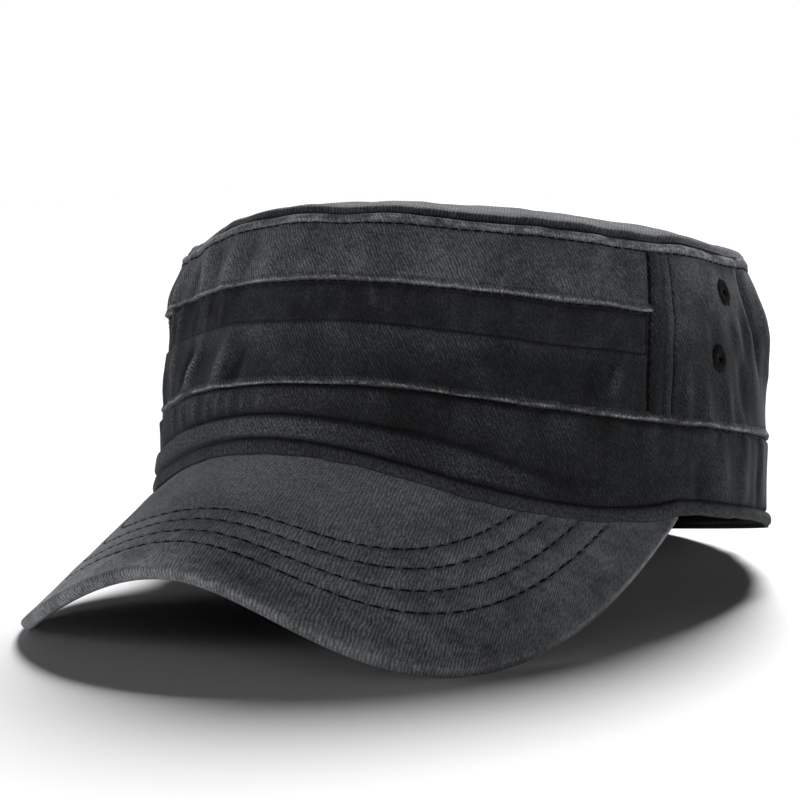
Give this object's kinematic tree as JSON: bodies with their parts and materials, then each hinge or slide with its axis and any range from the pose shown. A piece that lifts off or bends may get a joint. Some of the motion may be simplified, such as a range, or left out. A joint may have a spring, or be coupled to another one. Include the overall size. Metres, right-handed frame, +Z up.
{
  "type": "patrol cap",
  "caption": "Soft flat-sided cap with a domed top panel, folded seams round the crown, stitched eyelets and an arched peak.",
  "frame": {"origin": "below the middle of the cap's bounding box, on the surface that it rests on", "axes": "+Z up, the front and the peak face -Y, the wearer's left is +X"},
  "size_m": [0.1832, 0.2544, 0.1112],
  "materials": {
    "crown_twill": "washed matt twill",
    "worn_edge": "matt, rubbed pale along the fold",
    "tuck_twill": "washed matt twill, darker",
    "edge_twill": "matt, lightly rubbed",
    "peak_twill": "washed matt twill, sun-paled",
    "under_twill": "dark matt twill",
    "sweatband_cloth": "dark matt cotton",
    "thread": "matt cotton thread"
  },
  "bodies": {
    "root": {"crown_top": "crown_twill", "top_seam_roll": "worn_edge", "front_upper_panel": "crown_twill", "upper_fold": "worn_edge", "tuck_strip": "tuck_twill", "front_lower_panel": "crown_twill", "side_seam_left": "crown_twill", "side_seam_right": "crown_twill", "side_panel_left": "crown_twill", "side_panel_right": "crown_twill", "back_seam": "crown_twill", "eyelet_lower_left": "thread", "eyelet_upper_left": "thread", "eyelet_lower_right": "thread", "eyelet_upper_right": "thread", "band": "crown_twill", "band_fold": "worn_edge", "band_edge": "edge_twill", "sweatband": "sweatband_cloth", "peak_top_cover": "peak_twill", "peak_under_cover": "under_twill"}
  },
  "joints": []
}
